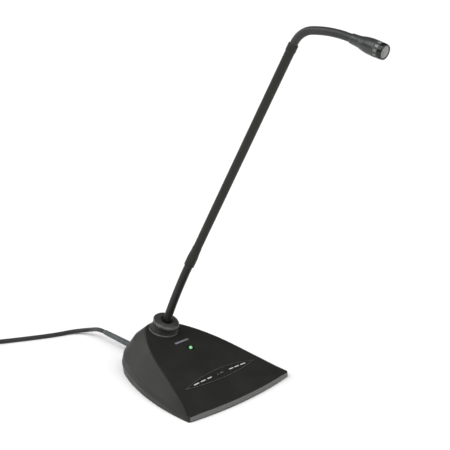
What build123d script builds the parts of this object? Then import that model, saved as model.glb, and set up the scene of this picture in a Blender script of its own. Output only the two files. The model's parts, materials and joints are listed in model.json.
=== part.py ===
from build123d import *
from math import atan2, cos, degrees, hypot, pi, radians, sin, sqrt, tan
import os

# Desktop gooseneck microphone. Millimetres, +Z up, front edge towards -Y, X = 0 is the mirror plane.
# The origin is on the underside of the rubber pad, near the middle of the footprint.

# ---------------------------------------------------------------- driving dimensions: base
corner_x = 77.2  # front corners
corner_y = -74.2
corner_round = 3.0
ridge_round = 2.5
front_y = -81.4  # middle of the convex front edge
rear_centre_y = 35.9  # centre of the rounded back
rear_radius = 48.6
rear_angle = 28.0  # where the side arcs run into the rear arc, up from +X
band_bulge = 1.7  # the upright band round the base swells this much at its back
lip_height = 6.0  # upright lip along the front edge
crease_slope = 6.2  # the band grows taller towards the back, degrees
waist = (65.5, -75.5, 38.0, 28.5)  # halfway up the flanks: corner x, corner y, rear radius, rear angle
guide = (45.5, -77.0, 22.0, 41.5)  # outline above the top face that carries the flanks on, likewise
guide_height = 38.3  # height of that outline's plane over the origin, and its slope
guide_slope = 15.0
apron_slope = 25.0  # short apron between the lip and the top face, degrees
crown_radius = 600.0  # the top face is slightly crowned across its width
wall = 2.6
pad_thickness = 1.2
plate_thickness = 2.2
plate_gap = 0.4
screw_posts = [(-50.0, -38.0), (50.0, -38.0), (-33.0, 38.0), (33.0, 38.0)]

# ---------------------------------------------------------------- driving dimensions: switch and lamp
bar_y = -45.5
bar_half_length = 53.0
bar_half_width = 6.9
bar_gap = 0.35
bar_proud = 0.5
bar_travel = 0.7
switch_x = 30.0
board_depth = 10.5  # from the top face down to the board
board_thickness = 1.6
lamp_x = 1.5
lamp_y = 1.0
badge_y = 14.0
selector_y = -22.0
selector_pitch = 3.0
selector_travel = 2.0

# ---------------------------------------------------------------- driving dimensions: stem
mount_y = 41.3
mount_z = 46.7
stem_tilt = 24.0  # forward of vertical at the base
tube_tilt = 29.8  # forward of vertical along the rigid tube
head_tilt = 106.0  # the head points a little below the horizon
lower_start = 20.0  # distances along the stem from the top face
lower_end = 95.0
lower_joints = [24.0, 40.0, 56.0, 72.0, 88.0]
coupling_start = 92.4
coupling_end = 116.8
tube_end = 355.5
collar_end = 365.2
bend_start = 366.0
tight_radius = 25.0
tight_turn = 57.0
neck_start = 434.2
upper_joints = [368.0, 376.0, 384.0, 392.0, 401.0, 410.0, 419.0, 428.0]
lower_radius = 4.4
upper_radius = 3.7
tube_radius = 4.48

# ---------------------------------------------------------------- driving dimensions: cable
cord_radius = 2.6
exit_height = 12.1
relief_length = 62.0
coil_x = -149.0
coil_y = 239.0
coil_lift = 1.0  # thickness of the tie under the coil
plug_radius = 9.5
plug_length = 56.0
boot_length = 26.0

os.makedirs("parts", exist_ok=True)


# ---------------------------------------------------------------- shared construction
def tilted(y, z, tilt):
    """Plane in the mirror plane at (0, y, z), its normal leaning forward of vertical by tilt degrees."""
    lean = radians(tilt)
    return Plane(origin=(0, y, z), x_dir=(1, 0, 0), z_dir=(0, -sin(lean), cos(lean)))


def lathe(frame, points, mode=Mode.ADD):
    """Turn an outline of (radius, height) points about the frame's normal, into the part being built."""
    with BuildSketch(Plane(frame.origin, x_dir=frame.x_dir, z_dir=-frame.y_dir)) as section:
        with BuildLine():
            Polyline(*points, close=True)
        make_face()
    revolve(section.sketch, axis=Axis(frame.origin, frame.z_dir), mode=mode)


def top_height(y):
    """Height of the top face on the mirror plane."""
    back = y + 1.0
    return 34.8 + 0.300 * back - 0.0005 * back * back


def top_slope(y):
    """Slope of the top face on the mirror plane, degrees."""
    return degrees(atan2(0.300 - 0.001 * (y + 1.0), 1.0))


def on_top(y):
    """Plane tangent to the top face on the mirror plane."""
    return tilted(y, top_height(y), top_slope(y))


front_sagitta = corner_y - front_y
front_radius = (corner_x**2 + front_sagitta**2) / (2 * front_sagitta)
rear_y = rear_centre_y + rear_radius + band_bulge - 0.2


def outline(shape, inset):
    """Outline with a convex front edge and side arcs that run tangent into a rear arc, moved inwards.

    shape is (corner x, corner y, rear radius, rear angle).
    """
    x = shape[0] - 1.1 * inset
    y = shape[1] + inset
    radius = shape[2] - inset
    angle = shape[3]
    drop = rear_centre_y - y
    turn_sin = sin(radians(angle))
    turn_cos = cos(radians(angle))
    extra = (x**2 + drop**2 - radius**2) / (2 * radius + 2 * drop * turn_sin - 2 * x * turn_cos)
    side_x = -extra * turn_cos
    side_y = rear_centre_y - extra * turn_sin
    start = degrees(atan2(y - side_y, x - side_x))
    with BuildSketch() as plan:
        with BuildLine():
            ThreePointArc((-x, y), (0, y - front_sagitta * (x / corner_x) ** 2), (x, y))
            CenterArc((side_x, side_y), radius + extra, start, angle - start)
            CenterArc((0, rear_centre_y), radius, angle, 180 - 2 * angle)
            CenterArc((-side_x, side_y), radius + extra, 180 - angle, angle - start)
        make_face()
        fillet(plan.vertices().group_by(Axis.Y)[0], radius=corner_round)
    return plan.sketch


def footprint(inset, swell=0.0):
    """Outline of the upright band round the base, moved inwards by inset."""
    return outline((corner_x, corner_y, rear_radius + swell, rear_angle), inset)


def under_crown(drop):
    """Everything below the crowned top face, lowered by drop."""
    sector = radians(10)
    spin = Plane(origin=(0, 0, -crown_radius), x_dir=(0, 1, 0), z_dir=(cos(sector), 0, sin(sector)))
    front, middle, back = (
        (y, crown_radius + top_height(y) - drop) for y in (-110.0, -1.0, 100.0)
    )
    floor = crown_radius - 20
    with BuildPart() as crown:
        with BuildSketch(spin):
            with BuildLine():
                ThreePointArc(front, middle, back)
                Polyline(back, (back[0], floor), (front[0], floor), front)
            make_face()
        revolve(axis=Axis((0, 0, -crown_radius), (0, 1, 0)), revolution_arc=20)
    return crown.part


def under_apron(drop):
    """Everything below the front apron, which is part of a shallow cone, lowered by drop."""
    sector = radians(18)
    rise = tan(radians(apron_slope))
    cone_axis_y = front_y + front_radius
    low = lip_height - drop
    spin = Plane(
        origin=(0, cone_axis_y, 0),
        x_dir=(-sin(sector), -cos(sector), 0),
        z_dir=(-cos(sector), sin(sector), 0),
    )
    with BuildPart() as apron:
        with BuildSketch(spin):
            with BuildLine():
                Polyline(
                    (front_radius + 30, -20),
                    (front_radius + 30, low - 30 * rise),
                    (front_radius - 60, low + 60 * rise),
                    (front_radius - 60, 90),
                    (front_radius - 190, 90),
                    (front_radius - 190, -20),
                    close=True,
                )
            make_face()
        revolve(axis=Axis((0, cone_axis_y, 0), (0, 0, 1)), revolution_arc=36)
    return apron.part


def base_form(inset):
    """Solid inside the base's outer skin, every face moved inwards by inset."""
    crease_height = lip_height - corner_y * tan(radians(crease_slope)) - 0.4 * inset
    drop = inset * 1.05
    with BuildPart() as form:
        for share, swell in ((0.0, 0.0), (0.55, band_bulge), (1.0, 0.0)):
            height = pad_thickness + (crease_height - pad_thickness) * share
            with BuildSketch(tilted(0, height, crease_slope * share)):
                add(footprint(inset, swell))
        for share, shape in ((0.5, waist), (1.0, guide)):
            height = crease_height + (guide_height - 0.4 * inset - crease_height) * share
            slope = crease_slope + (guide_slope - crease_slope) * share
            with BuildSketch(tilted(0, height, slope)):
                add(outline(shape, inset))
        loft(ruled=True)
        add(under_crown(drop), mode=Mode.INTERSECT)
        add(under_apron(drop), mode=Mode.INTERSECT)
    return form.part


def slab(inset, low, high):
    """Flat slice on the base's footprint, moved inwards by inset, between two heights."""
    with BuildPart() as slice_part:
        with BuildSketch(Plane.XY.offset(low)):
            add(footprint(inset))
        extrude(amount=high - low)
    return slice_part.part


def bar_outline(grow):
    """Pointed ellipse of the switch bar, grown by grow."""
    with BuildSketch() as outline:
        with BuildLine():
            ThreePointArc((-bar_half_length, 0), (0, bar_half_width), (bar_half_length, 0))
            ThreePointArc((bar_half_length, 0), (0, -bar_half_width), (-bar_half_length, 0))
        make_face()
        if grow:
            offset(amount=grow, kind=Kind.INTERSECTION)
    return outline.sketch


def top_layer(outline, upper, lower):
    """Slice of a prism on outline, square to the deck, between two depths under the top face."""
    with BuildPart() as layer:
        with BuildSketch(deck.offset(-layer_reach)):
            add(outline)
        extrude(amount=2 * layer_reach)
        add(under_crown(upper), mode=Mode.INTERSECT)
        add(under_crown(lower), mode=Mode.SUBTRACT)
    return layer.part


# ---------------------------------------------------------------- stem centre line
def bend(point, tilt, length, turn):
    """End of an arc in the mirror plane that starts at point and turns forward by turn degrees."""
    middle = radians(tilt + turn / 2)
    half_turn = radians(turn / 2)
    chord = length * sin(half_turn) / half_turn if turn else length
    return (point[0] - chord * sin(middle), point[1] + chord * cos(middle)), tilt + turn


tight_length = radians(tight_turn) * tight_radius
gentle_start = bend_start + tight_length
stem_stretches = [  # (start, length, turn in degrees)
    (0.0, lower_start, 0.0),
    (lower_start, lower_end - lower_start, tube_tilt - stem_tilt),
    (lower_end, bend_start - lower_end, 0.0),
    (bend_start, tight_length, tight_turn),
    (gentle_start, neck_start - gentle_start, head_tilt - tube_tilt - tight_turn),
    (neck_start, 60.0, 0.0),
]


def stem_at(distance):
    """Plane across the stem at a distance along it from the top face."""
    point, tilt = (mount_y, mount_z), stem_tilt
    for start, length, turn in stem_stretches:
        part = min(max(distance - start, 0.0), length)
        if distance < 0:
            part = distance if start == 0 else 0.0
        point, tilt = bend(point, tilt, part, turn * part / length)
    return tilted(point[0], point[1], tilt)


mount = stem_at(0)
deck = on_top(bar_y)
board_plane = deck.offset(-board_depth)

layer_reach = 14.0
bar_stop_top = wall + 0.5
bar_bottom = bar_stop_top + 1.2
marks = [  # (x, length)
    (-36.8, 7.2), (-27.2, 6.9), (-17.9, 6.0), (-5.3, 1.6), (0.7, 4.6), (15.5, 6.4), (24.3, 6.9), (34.4, 8.1),
]

# ================================================================ base: what moves in the top face
with BuildSketch() as mark_outline:
    for mark_x, mark_length in marks:
        with Locations((mark_x, 0)):
            RectangleRounded(mark_length, 1.15, 0.5)

with BuildPart() as switch_marks:
    add(top_layer(mark_outline.sketch, -bar_proud - 0.15, -bar_proud + 0.45))
switch_marks.part.label = "switch_marks"
export_step(switch_marks.part, "parts/switch_marks.step")

with BuildSketch() as stop_outline:
    add(bar_outline(1.3))
    Rectangle(2 * bar_half_length - 6, 30, mode=Mode.INTERSECT)

with BuildPart() as switch_bar:
    add(top_layer(bar_outline(0), -bar_proud, bar_bottom))
    add(top_layer(stop_outline.sketch, bar_stop_top, bar_bottom))
    add(switch_marks.part, mode=Mode.SUBTRACT)
switch_bar.part.label = "switch_bar"
export_step(switch_bar.part, "parts/switch_bar.step")

# Each plunger runs from the bar down into the snap switch below it, with room for the bar's travel.
switch_height = 3.5
plunger_radius = 1.75
well_depth = 2.6
switch_top = switch_height - board_depth
with BuildPart() as switch_plungers:
    with BuildSketch(deck.offset(switch_top + bar_travel + 0.3 - well_depth)):
        with Locations((-switch_x, 0), (switch_x, 0)):
            Circle(plunger_radius)
    extrude(amount=10)
    add(under_crown(bar_bottom), mode=Mode.INTERSECT)
switch_plungers.part.label = "switch_plungers"
export_step(switch_plungers.part, "parts/switch_plungers.step")

with BuildPart() as switch_bodies:
    with BuildSketch(board_plane):
        with Locations((-switch_x, 0), (switch_x, 0)):
            RectangleRounded(6.2, 6.2, 0.6)
    extrude(amount=switch_height)
    with BuildSketch(board_plane.offset(switch_height)):
        with Locations((-switch_x, 0), (switch_x, 0)):
            Circle(plunger_radius + 0.3)
    extrude(amount=-well_depth, mode=Mode.SUBTRACT)
switch_bodies.part.label = "switch_bodies"
export_step(switch_bodies.part, "parts/switch_bodies.step")

# ================================================================ base: lamp and badge
lamp = on_top(lamp_y)
lamp.origin = lamp.origin + Vector(lamp_x, 0, 0)
with BuildPart() as status_lamp:
    lathe(lamp, [(0, -8.5), (1.9, -8.5), (1.9, 0.9), (1.65, 1.6), (1.05, 2.1), (0, 2.3)])
status_lamp.part.label = "status_lamp"
export_step(status_lamp.part, "parts/status_lamp.step")

with BuildPart() as lamp_bezel:
    lathe(lamp, [(1.95, -3.6), (3.9, -3.6), (3.9, 0.0), (4.5, 0.0), (4.4, 0.3), (2.2, 0.35), (1.95, 0.1)])
lamp_bezel.part.label = "lamp_bezel"
export_step(lamp_bezel.part, "parts/lamp_bezel.step")

with BuildSketch() as badge_outline:
    with Locations((lamp_x, (badge_y - bar_y) / cos(radians(top_slope(bar_y))))):
        RectangleRounded(19.6, 2.2, 0.5)

with BuildPart() as badge_bar:
    add(top_layer(badge_outline.sketch, -0.3, 0.5))
badge_bar.part.label = "badge_bar"
export_step(badge_bar.part, "parts/badge_bar.step")

# ================================================================ base: circuit board
board_low = -8.0
board_high = 52.0
board_screw_points = [(-32.0, 12.0), (32.0, 12.0), (-32.0, 46.0), (32.0, 46.0)]
with BuildPart() as main_board:
    with BuildSketch(board_plane):
        with Locations((0, (board_low + board_high) / 2)):
            RectangleRounded(76.0, board_high - board_low, 1.5)
        with Locations(*board_screw_points):
            Circle(1.3, mode=Mode.SUBTRACT)
    extrude(amount=-board_thickness)
main_board.part.label = "main_board"
export_step(main_board.part, "parts/main_board.step")

with BuildPart() as board_components:
    with BuildSketch(board_plane):
        with Locations((-12, 22)):
            Rectangle(10.0, 8.0)
        with Locations((12, 14)):
            Rectangle(6.0, 5.0)
        with Locations((22, 26)):
            Rectangle(5.0, 4.0)
    extrude(amount=1.6)
    with BuildSketch(board_plane):
        with Locations((-24, 26), (-24, 34), (20, 36)):
            Circle(2.5)
    extrude(amount=5.0)
    with BuildSketch(board_plane):
        with Locations((-4, 42)):
            Rectangle(14.0, 5.0)
    extrude(amount=4.6)
board_components.part.label = "board_components"
export_step(board_components.part, "parts/board_components.step")

screw_hole_radius = 1.1
with BuildPart() as board_screws:
    for point in board_screw_points:
        seat = Plane(board_plane.offset(-board_thickness).from_local_coords((point[0], point[1], 0)),
                     x_dir=board_plane.x_dir, z_dir=board_plane.z_dir)
        lathe(seat, [(0, -1.6), (2.1, -1.6), (2.1, 0), (1.0, 0), (1.0, 6.0), (0, 6.0)])
board_screws.part.label = "board_screws"
export_step(board_screws.part, "parts/board_screws.step")

# ================================================================ base: cable exit
relief_direction = Vector(sin(radians(5)), cos(radians(5)), tan(radians(1.8))).normalized()
relief = Plane(origin=(0, rear_y, exit_height), z_dir=relief_direction)
relief_collar = 3.7
with BuildPart() as strain_relief:
    lathe(relief, [
        (0, -5.6), (6.0, -5.6), (6.0, -4.0), (relief_collar, -4.0), (relief_collar, 1.0),
        (3.55, 3.0), (2.98, relief_length), (0, relief_length),
    ])
strain_relief.part.label = "strain_relief"
export_step(strain_relief.part, "parts/strain_relief.step")

# ================================================================ base: casting
mount_seat = on_top(mount_y)
ring_radius = 16.5
ring_inner = 12.7
ring_seat = 0.6
neck_radius = 11.6
neck_low = -5.7
neck_high = 8.2
washer_radius = 13.2
with BuildPart() as post_blanks:
    with BuildSketch(Plane.XY.offset(pad_thickness + plate_thickness)):
        with Locations(*screw_posts):
            Circle(3.6)
    extrude(amount=60)
    with BuildSketch(board_plane):
        with Locations(*board_screw_points):
            Circle(3.0)
    extrude(amount=12)
    lathe(mount, [
        (neck_radius + 0.4, neck_low + 0.05), (washer_radius, neck_low + 0.05), (washer_radius, 8),
        (neck_radius + 0.4, 8),
    ])
    add(base_form(wall / 2), mode=Mode.INTERSECT)

with BuildPart() as base_housing:
    add(base_form(0))
    side_ridges = [e for e in base_housing.edges() if e.length > 95 and e.center().Z > 30]
    rear_ridge = base_housing.edges().filter_by(lambda e: e.length < 60 and e.center().Z > 48)
    fillet([*side_ridges, *rear_ridge], radius=ridge_round)
    add(base_form(wall), mode=Mode.SUBTRACT)
    add(post_blanks.part)
    with BuildSketch(Plane.XY.offset(pad_thickness + plate_thickness)):
        with Locations(*screw_posts):
            Circle(1.35)
    extrude(amount=9, mode=Mode.SUBTRACT)
    with BuildSketch(board_plane):
        with Locations(*board_screw_points):
            Circle(screw_hole_radius)
    extrude(amount=5, mode=Mode.SUBTRACT)
    add(top_layer(bar_outline(bar_gap), -3, wall + 2), mode=Mode.SUBTRACT)
    add(top_layer(bar_outline(1.9), wall + 0.2, wall + 4.2), mode=Mode.SUBTRACT)
    add(top_layer(badge_outline.sketch, -2, 0.5), mode=Mode.SUBTRACT)
    lathe(lamp, [(0, -8), (3.95, -8), (3.95, 0), (4.6, 0), (4.6, 3), (0, 3)], mode=Mode.SUBTRACT)
    lathe(mount_seat, [(0, -ring_seat), (ring_radius + 0.2, -ring_seat), (ring_radius + 0.2, 8), (0, 8)],
          mode=Mode.SUBTRACT)
    lathe(mount, [(0, -12), (neck_radius + 0.4, -12), (neck_radius + 0.4, 8), (0, 8)], mode=Mode.SUBTRACT)
    exit_radius = relief_collar + 0.1
    lathe(relief, [(0, -20), (exit_radius, -20), (exit_radius, 8), (0, 8)], mode=Mode.SUBTRACT)
base_housing.part.label = "base_housing"
export_step(base_housing.part, "parts/base_housing.step")

# ================================================================ base: underside
selector_window = (9.4, 5.4)
with BuildPart() as bottom_plate:
    add(slab(wall + plate_gap, pad_thickness, pad_thickness + plate_thickness))
    with BuildSketch(Plane.XY.offset(pad_thickness)):
        with Locations((0, selector_y)):
            Rectangle(*selector_window)
        with Locations(*screw_posts):
            Circle(1.7)
    extrude(amount=plate_thickness, mode=Mode.SUBTRACT)
bottom_plate.part.label = "bottom_plate"
export_step(bottom_plate.part, "parts/bottom_plate.step")

with BuildPart() as rubber_pad:
    add(slab(1.0, 0, pad_thickness))
    with BuildSketch():
        with Locations((0, selector_y)):
            RectangleRounded(18.0, 12.0, 2.0)
        with Locations(*screw_posts):
            Circle(4.2)
    extrude(amount=pad_thickness, mode=Mode.SUBTRACT)
rubber_pad.part.label = "rubber_pad"
export_step(rubber_pad.part, "parts/rubber_pad.step")

with BuildPart() as plate_screws:
    for x, y in screw_posts:
        lathe(Plane((x, y, pad_thickness)), [
            (0, -0.9), (1.2, -0.9), (3.0, -0.3), (3.0, 0), (1.25, 0), (1.25, 10), (0, 10),
        ])
plate_screws.part.label = "plate_screws"
export_step(plate_screws.part, "parts/plate_screws.step")

with BuildPart() as ballast_weight:
    with BuildSketch(Plane.XY.offset(pad_thickness + plate_thickness)):
        with Locations((0, 20)):
            RectangleRounded(52.0, 48.0, 4.0)
    extrude(amount=12)
    chamfer(ballast_weight.faces().sort_by(Axis.Z)[-1].edges(), length=1.0)
ballast_weight.part.label = "ballast_weight"
export_step(ballast_weight.part, "parts/ballast_weight.step")

selector_knob = 1.6
slot_width = selector_knob + 0.5
slot_length = selector_knob + selector_travel + 0.6
selector_columns = (-selector_pitch, 0.0, selector_pitch)
with BuildPart() as selector_body:
    with BuildSketch(Plane.XY.offset(pad_thickness + plate_thickness)):
        with Locations((0, selector_y)):
            Rectangle(14.0, 8.4)
        with Locations(*[(x, selector_y) for x in selector_columns]):
            Rectangle(slot_width, slot_length, mode=Mode.SUBTRACT)
    extrude(amount=3.4)
    with BuildSketch(Plane.XY.offset(pad_thickness + plate_thickness + 3.4)):
        with Locations((0, selector_y)):
            Rectangle(14.0, 8.4)
    extrude(amount=1.2)
selector_body.part.label = "selector_body"
export_step(selector_body.part, "parts/selector_body.step")

for index, column in enumerate(selector_columns, start=1):
    with BuildPart() as selector_slider:
        with BuildSketch(Plane.XY.offset(pad_thickness + 0.9)):
            with Locations((column, selector_y - selector_travel / 2)):
                RectangleRounded(selector_knob, selector_knob, 0.3)
        extrude(amount=plate_thickness + 2.2)
    selector_slider.part.label = f"selector_slider_{index}"
    export_step(selector_slider.part, f"parts/selector_slider_{index}.step")

# ================================================================ stem mount
with BuildPart() as mount_ring:
    lathe(mount_seat, [
        (ring_inner, -ring_seat), (ring_radius, -ring_seat), (ring_radius, 0.7), (ring_radius - 0.5, 1.3),
        (ring_radius - 1.6, 1.6), (ring_inner + 0.5, 1.6), (ring_inner, 1.2),
    ])
mount_ring.part.label = "mount_ring"
export_step(mount_ring.part, "parts/mount_ring.step")

bush_radius = 6.0
flange_radius = 14.5
cap_radius = 14.8
boot_top_radius = 13.4
boot_flare = 0.19  # the boot widens downwards by this share of its height
boot_ribs = 8
boot_rib_pitch = 1.3
boot_outline = [(neck_radius - 1, neck_high), (boot_top_radius, neck_high)]
for rib in range(boot_ribs):
    for drop, groove in ((0.2, 0.0), (0.75, 0.0), (0.95, 0.45), (1.25, 0.45)):
        below = rib * boot_rib_pitch + drop
        boot_outline.append((boot_top_radius + boot_flare * below - groove, neck_high - below))
boot_outline.append((neck_radius - 1, boot_outline[-1][1]))
with BuildPart() as neck_boot:
    lathe(mount, boot_outline)
    split(bisect_by=mount_seat.offset(1.7), keep=Keep.TOP)
with BuildPart() as mount_neck:
    lathe(mount, [
        (bush_radius + 0.1, neck_low), (neck_radius, neck_low), (neck_radius, neck_high),
        (bush_radius + 0.1, neck_high),
    ])
    add(neck_boot.part)
mount_neck.part.label = "mount_neck"
export_step(mount_neck.part, "parts/mount_neck.step")

with BuildPart() as mount_nut:
    lathe(mount, [
        (bush_radius + 0.1, neck_low - 5.3), (9.0, neck_low - 5.3), (9.0, neck_low - 1.5),
        (washer_radius, neck_low - 1.5), (washer_radius, neck_low), (bush_radius + 0.1, neck_low),
    ])
mount_nut.part.label = "mount_nut"
export_step(mount_nut.part, "parts/mount_nut.step")

with BuildPart() as mount_flange:
    lathe(mount, [
        (bush_radius + 0.1, neck_high), (flange_radius - 0.5, neck_high), (flange_radius, neck_high + 0.4),
        (flange_radius, neck_high + 1.2), (flange_radius - 0.6, neck_high + 1.7),
        (bush_radius + 0.1, neck_high + 1.7),
    ])
mount_flange.part.label = "mount_flange"
export_step(mount_flange.part, "parts/mount_flange.step")

with BuildPart() as stem_socket:
    lathe(mount, [
        (lower_radius + 0.1, neck_low - 5.3), (bush_radius, neck_low - 5.3), (bush_radius, neck_high + 1.7),
        (lower_radius + 0.1, neck_high + 1.7),
    ])
stem_socket.part.label = "stem_socket"
export_step(stem_socket.part, "parts/stem_socket.step")

cap_low = neck_high + 1.7
with BuildPart() as stem_cap:
    lathe(mount, [
        (6.9, cap_low), (12.6, cap_low), (12.6, cap_low + 0.8), (cap_radius, cap_low + 0.8),
        (cap_radius, cap_low + 1.7), (cap_radius - 0.7, cap_low + 2.6), (cap_radius - 2.3, cap_low + 3.4),
        (cap_radius - 4.6, cap_low + 4.1), (7.5, cap_low + 4.5), (6.9, cap_low + 4.2),
    ])
stem_cap.part.label = "stem_cap"
export_step(stem_cap.part, "parts/stem_cap.step")

with BuildPart() as cap_grommet:
    lathe(mount, [
        (4.9, cap_low), (6.8, cap_low), (6.8, cap_low + 2.2), (6.2, cap_low + 2.6), (5.3, cap_low + 2.6),
        (4.9, cap_low + 2.2),
    ])
cap_grommet.part.label = "cap_grommet"
export_step(cap_grommet.part, "parts/cap_grommet.step")

# ================================================================ flexible goosenecks


def gooseneck(name, start, joints, end, radius, half_gap):
    """Chain of short links. Each link ends in a ball that sits in the next link's socket, at a joint."""
    ball = radius * 0.66
    socket = ball + 0.3
    stations = [start, *joints, end]
    for index in range(len(stations) - 1):
        here = stem_at(stations[index]).origin
        there = stem_at(stations[index + 1]).origin
        along = there - here
        frame = Plane(origin=here, x_dir=(1, 0, 0), z_dir=along)
        first = index == 0
        last = index == len(joints)
        low = 0 if first else half_gap
        high = along.length - (0 if last else half_gap)
        with BuildPart() as link:
            with BuildSketch(frame.offset(low)):
                Circle(radius)
            extrude(amount=high - low)
            if not last:
                with Locations(frame.offset(along.length)):
                    Sphere(ball)
            if not first:
                with Locations(frame):
                    Sphere(socket, mode=Mode.SUBTRACT)
        link.part.label = f"{name}_link_{index}"
        export_step(link.part, f"parts/{name}_link_{index}.step")


gooseneck("lower", -8.0, lower_joints, 99.0, lower_radius, 1.2)
gooseneck("upper", tube_end + 3.0, upper_joints, neck_start + 5.5, upper_radius, 1.1)

# ================================================================ rigid tube
tube_frame = stem_at(lower_end).offset(coupling_start - lower_end)
coupling_length = coupling_end - coupling_start
tube_bottom = 99.5 - coupling_start
sleeve_bore = tube_radius + 0.02
with BuildPart() as coupling_sleeve:
    lathe(tube_frame, [
        (sleeve_bore, 0), (5.2, 0), (5.5, 0.4), (5.5, 10.5), (5.38, 13.0), (5.15, 16.0), (4.92, 19.0),
        (4.8, 21.5), (4.8, coupling_length), (sleeve_bore, coupling_length),
    ])
coupling_sleeve.part.label = "coupling_sleeve"
export_step(coupling_sleeve.part, "parts/coupling_sleeve.step")

tube_top = tube_end + 2.5 - coupling_start
tube_bore = 3.5
with BuildPart() as rigid_tube:
    lathe(tube_frame, [
        (tube_bore, tube_bottom), (tube_radius, tube_bottom), (tube_radius, tube_top), (tube_bore, tube_top),
    ])
rigid_tube.part.label = "rigid_tube"
export_step(rigid_tube.part, "parts/rigid_tube.step")

collar_high = collar_end - coupling_start
spigot_depth = 6.0
with BuildPart() as tube_collar:
    lathe(tube_frame, [
        (2.6, tube_top - spigot_depth), (tube_bore - 0.04, tube_top - spigot_depth),
        (tube_bore - 0.04, tube_top), (4.7, tube_top), (4.85, tube_top + 0.3), (4.85, collar_high - 0.5),
        (4.6, collar_high), (upper_radius + 0.1, collar_high), (upper_radius + 0.1, tube_top + 0.3),
        (2.6, tube_top + 0.3),
    ])
tube_collar.part.label = "tube_collar"
export_step(tube_collar.part, "parts/tube_collar.step")

# ================================================================ microphone head
head = stem_at(neck_start)
neck_end = 10.5
vent_low = 26.3
vent_high = 32.0
head_end = 36.0
with BuildPart() as neck_adapter:
    lathe(head, [
        (upper_radius + 0.1, 0), (4.45, 0), (4.7, 1.5), (4.85, 5.0), (5.2, 8.5), (5.45, neck_end),
        (0, neck_end), (0, 6.0), (upper_radius + 0.1, 6.0),
    ])
neck_adapter.part.label = "neck_adapter"
export_step(neck_adapter.part, "parts/neck_adapter.step")

with BuildPart() as head_body:
    lathe(head, [
        (0, neck_end), (5.5, neck_end), (6.0, 12.5), (6.55, 15.0), (6.95, 18.0), (7.2, 21.0),
        (7.3, vent_low),
        (5.8, vent_low), (5.8, 14.5), (0, 14.5),
    ])
head_body.part.label = "head_body"
export_step(head_body.part, "parts/head_body.step")

vent_slots = 10
with BuildPart() as vent_band:
    lathe(head, [(6.55, vent_low), (7.3, vent_low), (7.2, vent_high), (6.55, vent_high)])
    with BuildSketch(head.offset(vent_low + 0.9)):
        with PolarLocations(7.0, vent_slots):
            Rectangle(2.4, 2.9)
    extrude(amount=vent_high - vent_low - 1.8, mode=Mode.SUBTRACT)
vent_band.part.label = "vent_band"
export_step(vent_band.part, "parts/vent_band.step")

with BuildPart() as vent_screen:
    lathe(head, [(6.1, vent_low), (6.5, vent_low), (6.5, vent_high), (6.1, vent_high)])
vent_screen.part.label = "vent_screen"
export_step(vent_screen.part, "parts/vent_screen.step")

grille_seat = head_end - 1.4
with BuildPart() as head_bezel:
    lathe(head, [
        (6.0, vent_high), (7.2, vent_high), (7.1, 33.8), (6.9, 35.2), (6.6, head_end), (5.75, head_end),
        (5.6, head_end - 0.3), (5.6, head_end - 0.9), (6.0, head_end - 0.9),
    ])
head_bezel.part.label = "head_bezel"
export_step(head_bezel.part, "parts/head_bezel.step")

with BuildPart() as grille:
    lathe(head, [(0, grille_seat), (5.95, grille_seat), (5.95, head_end - 0.92), (0, head_end - 0.92)])
grille.part.label = "grille"
export_step(grille.part, "parts/grille.step")

with BuildPart() as capsule:
    lathe(head, [
        (0, 14.6), (5.3, 14.6), (5.3, grille_seat - 0.6), (4.6, grille_seat - 0.2), (0, grille_seat - 0.2),
    ])
capsule.part.label = "capsule"
export_step(capsule.part, "parts/capsule.step")

# ================================================================ cable


def corner_radii(points):
    """One radius for each corner of a route: 0.45 of the shorter run over the tangent of half the turn."""
    radii = []
    for before, corner, after in zip(points, points[1:], points[2:]):
        run_in = Vector(*corner) - Vector(*before)
        run_out = Vector(*after) - Vector(*corner)
        half_turn = radians(run_in.get_angle(run_out)) / 2
        radii.append(0.45 * min(run_in.length, run_out.length) / tan(half_turn))
    return radii


def route_length(points):
    """Length of a route with its corners rounded."""
    total = sum((Vector(*b) - Vector(*a)).length for a, b in zip(points, points[1:]))
    for radius, (before, corner, after) in zip(corner_radii(points), zip(points, points[1:], points[2:])):
        turn = radians((Vector(*corner) - Vector(*before)).get_angle(Vector(*after) - Vector(*corner)))
        total += radius * turn - 2 * radius * tan(turn / 2)
    return total


def cord_tube(points):
    """Solid cord along a route with rounded corners."""
    with BuildPart() as tube:
        with BuildLine() as line:
            FilletPolyline(*points, radius=corner_radii(points))
        with BuildSketch(Plane(origin=line.line @ 0, z_dir=line.line % 0)):
            Circle(cord_radius)
        sweep()
    length = route_length(points)
    print("cord radii", [round(radius, 1) for radius in corner_radii(points)])
    print("cord length", round(length, 1), "volume over section times length",
          round(tube.part.volume / (length * pi * cord_radius**2), 4))
    return tube.part


relief_tip = relief.from_local_coords((0, 0, relief_length))
relief_out = relief.from_local_coords((0, 0, relief_length + 12))
cord_route = [
    (relief_tip.X, relief_tip.Y, relief_tip.Z),
    (relief_out.X, relief_out.Y, relief_out.Z),
    (11.5, 181.8, 6.6),
    (-0.5, 200.8, 2.8),
    (-21.0, 207.0, 2.6),
    (-57.0, 225.0, 2.6),
    (-92.2, 244.4, 2.9),
    (-115.9, 261.0, coil_lift + cord_radius),
]
with BuildPart() as cord_cable:
    add(cord_tube(cord_route))
cord_cable.part.label = "cord_cable"
export_step(cord_cable.part, "parts/cord_cable.step")

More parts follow.
